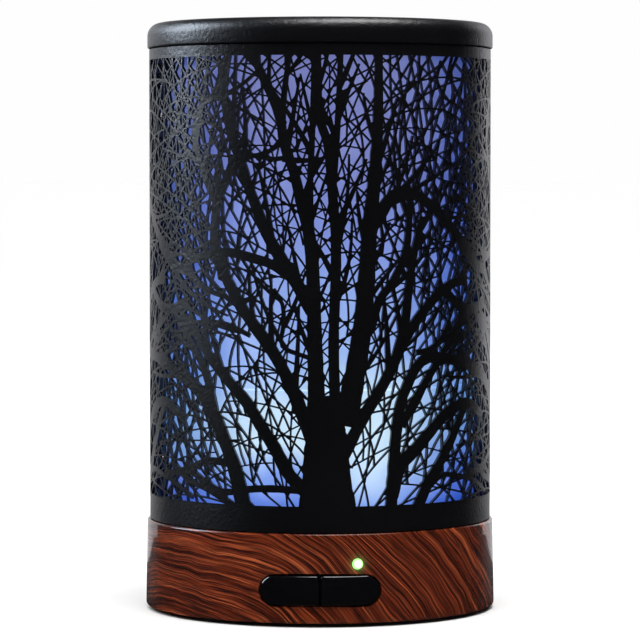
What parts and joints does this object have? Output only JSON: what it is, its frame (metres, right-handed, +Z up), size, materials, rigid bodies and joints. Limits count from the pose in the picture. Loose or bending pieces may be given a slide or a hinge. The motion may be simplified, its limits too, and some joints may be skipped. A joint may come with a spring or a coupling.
{
  "type": "essential oil diffuser",
  "caption": "Ultrasonic mist diffuser with a pierced metal cover of trees, a wood-grain base with two push buttons, and a glowing inner cover.",
  "frame": {"origin": "centre of the surface that the four feet stand on, on the axis of the round body", "axes": "+Z up along the round body's axis, -Y towards the buttons at the front, +X to the right seen from the front"},
  "size_m": [0.096, 0.0963, 0.1604],
  "materials": {
    "wood_grain_case": "gloss",
    "black_powder_coat": "satin",
    "black_gloss_plastic": "gloss",
    "black_matte_plastic": "matte",
    "lit_translucent_plastic": "satin",
    "white_plastic": "satin",
    "foot_rubber": "matte",
    "silicone_seal": "matte",
    "bright_steel": "satin",
    "aluminium_fins": "satin",
    "piezo_ceramic": "satin",
    "green_board": "satin",
    "copper_winding": "satin",
    "led_package": "gloss",
    "lit_indicator": "gloss",
    "red_lead": "satin",
    "black_lead": "satin"
  },
  "bodies": {
    "base": {"base_shell": "wood_grain_case", "bottom_cover": "black_matte_plastic", "rubber_foot_1": "foot_rubber", "rubber_foot_2": "foot_rubber", "rubber_foot_3": "foot_rubber", "rubber_foot_4": "foot_rubber", "base_screw_1": "bright_steel", "base_screw_2": "bright_steel", "base_screw_3": "bright_steel", "base_screw_4": "bright_steel", "tank": "lit_translucent_plastic", "tank_seal": "silicone_seal", "piezo_seal": "silicone_seal", "piezo_disc": "piezo_ceramic", "piezo_clamp": "bright_steel", "clamp_screw_1": "bright_steel", "clamp_screw_2": "bright_steel", "clamp_screw_3": "bright_steel", "led_board": "green_board", "led_1": "led_package", "led_2": "led_package", "led_3": "led_package", "led_board_screw_1": "bright_steel", "led_board_screw_2": "bright_steel", "fan_frame": "black_matte_plastic", "fan_stator": "copper_winding", "fan_duct": "white_plastic", "fan_screw_1": "bright_steel", "fan_screw_2": "bright_steel", "main_board": "green_board", "capacitor": "black_matte_plastic", "inductor": "copper_winding", "heat_sink": "aluminium_fins", "control_chip": "black_matte_plastic", "fan_connector": "white_plastic", "piezo_connector": "white_plastic", "led_connector": "white_plastic", "board_screw_1": "bright_steel", "board_screw_2": "bright_steel", "button_board": "green_board", "button_header": "black_matte_plastic", "mist_switch": "black_matte_plastic", "light_switch": "black_matte_plastic", "indicator_lens": "lit_indicator", "indicator_led": "led_package", "power_socket": "black_matte_plastic", "power_socket_pin": "bright_steel", "fan_lead": "red_lead", "piezo_lead": "black_lead", "led_lead": "red_lead", "power_lead": "black_lead"},
    "inner_cover": {"inner_cover": "lit_translucent_plastic", "mist_chimney": "lit_translucent_plastic"},
    "outer_cover": {"outer_sleeve": "black_powder_coat", "top_cap": "black_powder_coat"},
    "mist_button": {"mist_button": "black_gloss_plastic"},
    "light_button": {"light_button": "black_gloss_plastic"},
    "mist_plunger": {"mist_switch_plunger": "white_plastic"},
    "light_plunger": {"light_switch_plunger": "white_plastic"},
    "fan_rotor": {"fan_rotor": "black_matte_plastic"}
  },
  "joints": [
    {"name": "inner_cover_lift", "type": "slide", "parent": "base", "child": "inner_cover", "axis": [0, 0, 1], "range_m": [0, 0.12]},
    {"name": "outer_cover_lift", "type": "slide", "parent": "inner_cover", "child": "outer_cover", "axis": [0, 0, 1], "range_m": [0, 0.16]},
    {"name": "mist_button_press", "type": "slide", "parent": "base", "child": "mist_button", "axis": [0, 1, 0], "range_m": [0, 0.0007], "stiffness_N_per_m": 2500},
    {"name": "light_button_press", "type": "slide", "parent": "base", "child": "light_button", "axis": [0, 1, 0], "range_m": [0, 0.0007], "stiffness_N_per_m": 2500},
    {"name": "mist_plunger_travel", "type": "slide", "parent": "base", "child": "mist_plunger", "axis": [0, 1, 0], "range_m": [0, 0.00035]},
    {"name": "light_plunger_travel", "type": "slide", "parent": "base", "child": "light_plunger", "axis": [0, 1, 0], "range_m": [0, 0.00035]},
    {"name": "fan_spin", "type": "hinge", "parent": "base", "child": "fan_rotor", "pos_m": [0, 0.025, 0.0156], "axis": [0, 0, 1], "continuous": true}
  ],
  "couplings": [
    {"joint": "mist_plunger_travel", "follows": "mist_button_press", "ratio": 0.5},
    {"joint": "light_plunger_travel", "follows": "light_button_press", "ratio": 0.5}
  ]
}
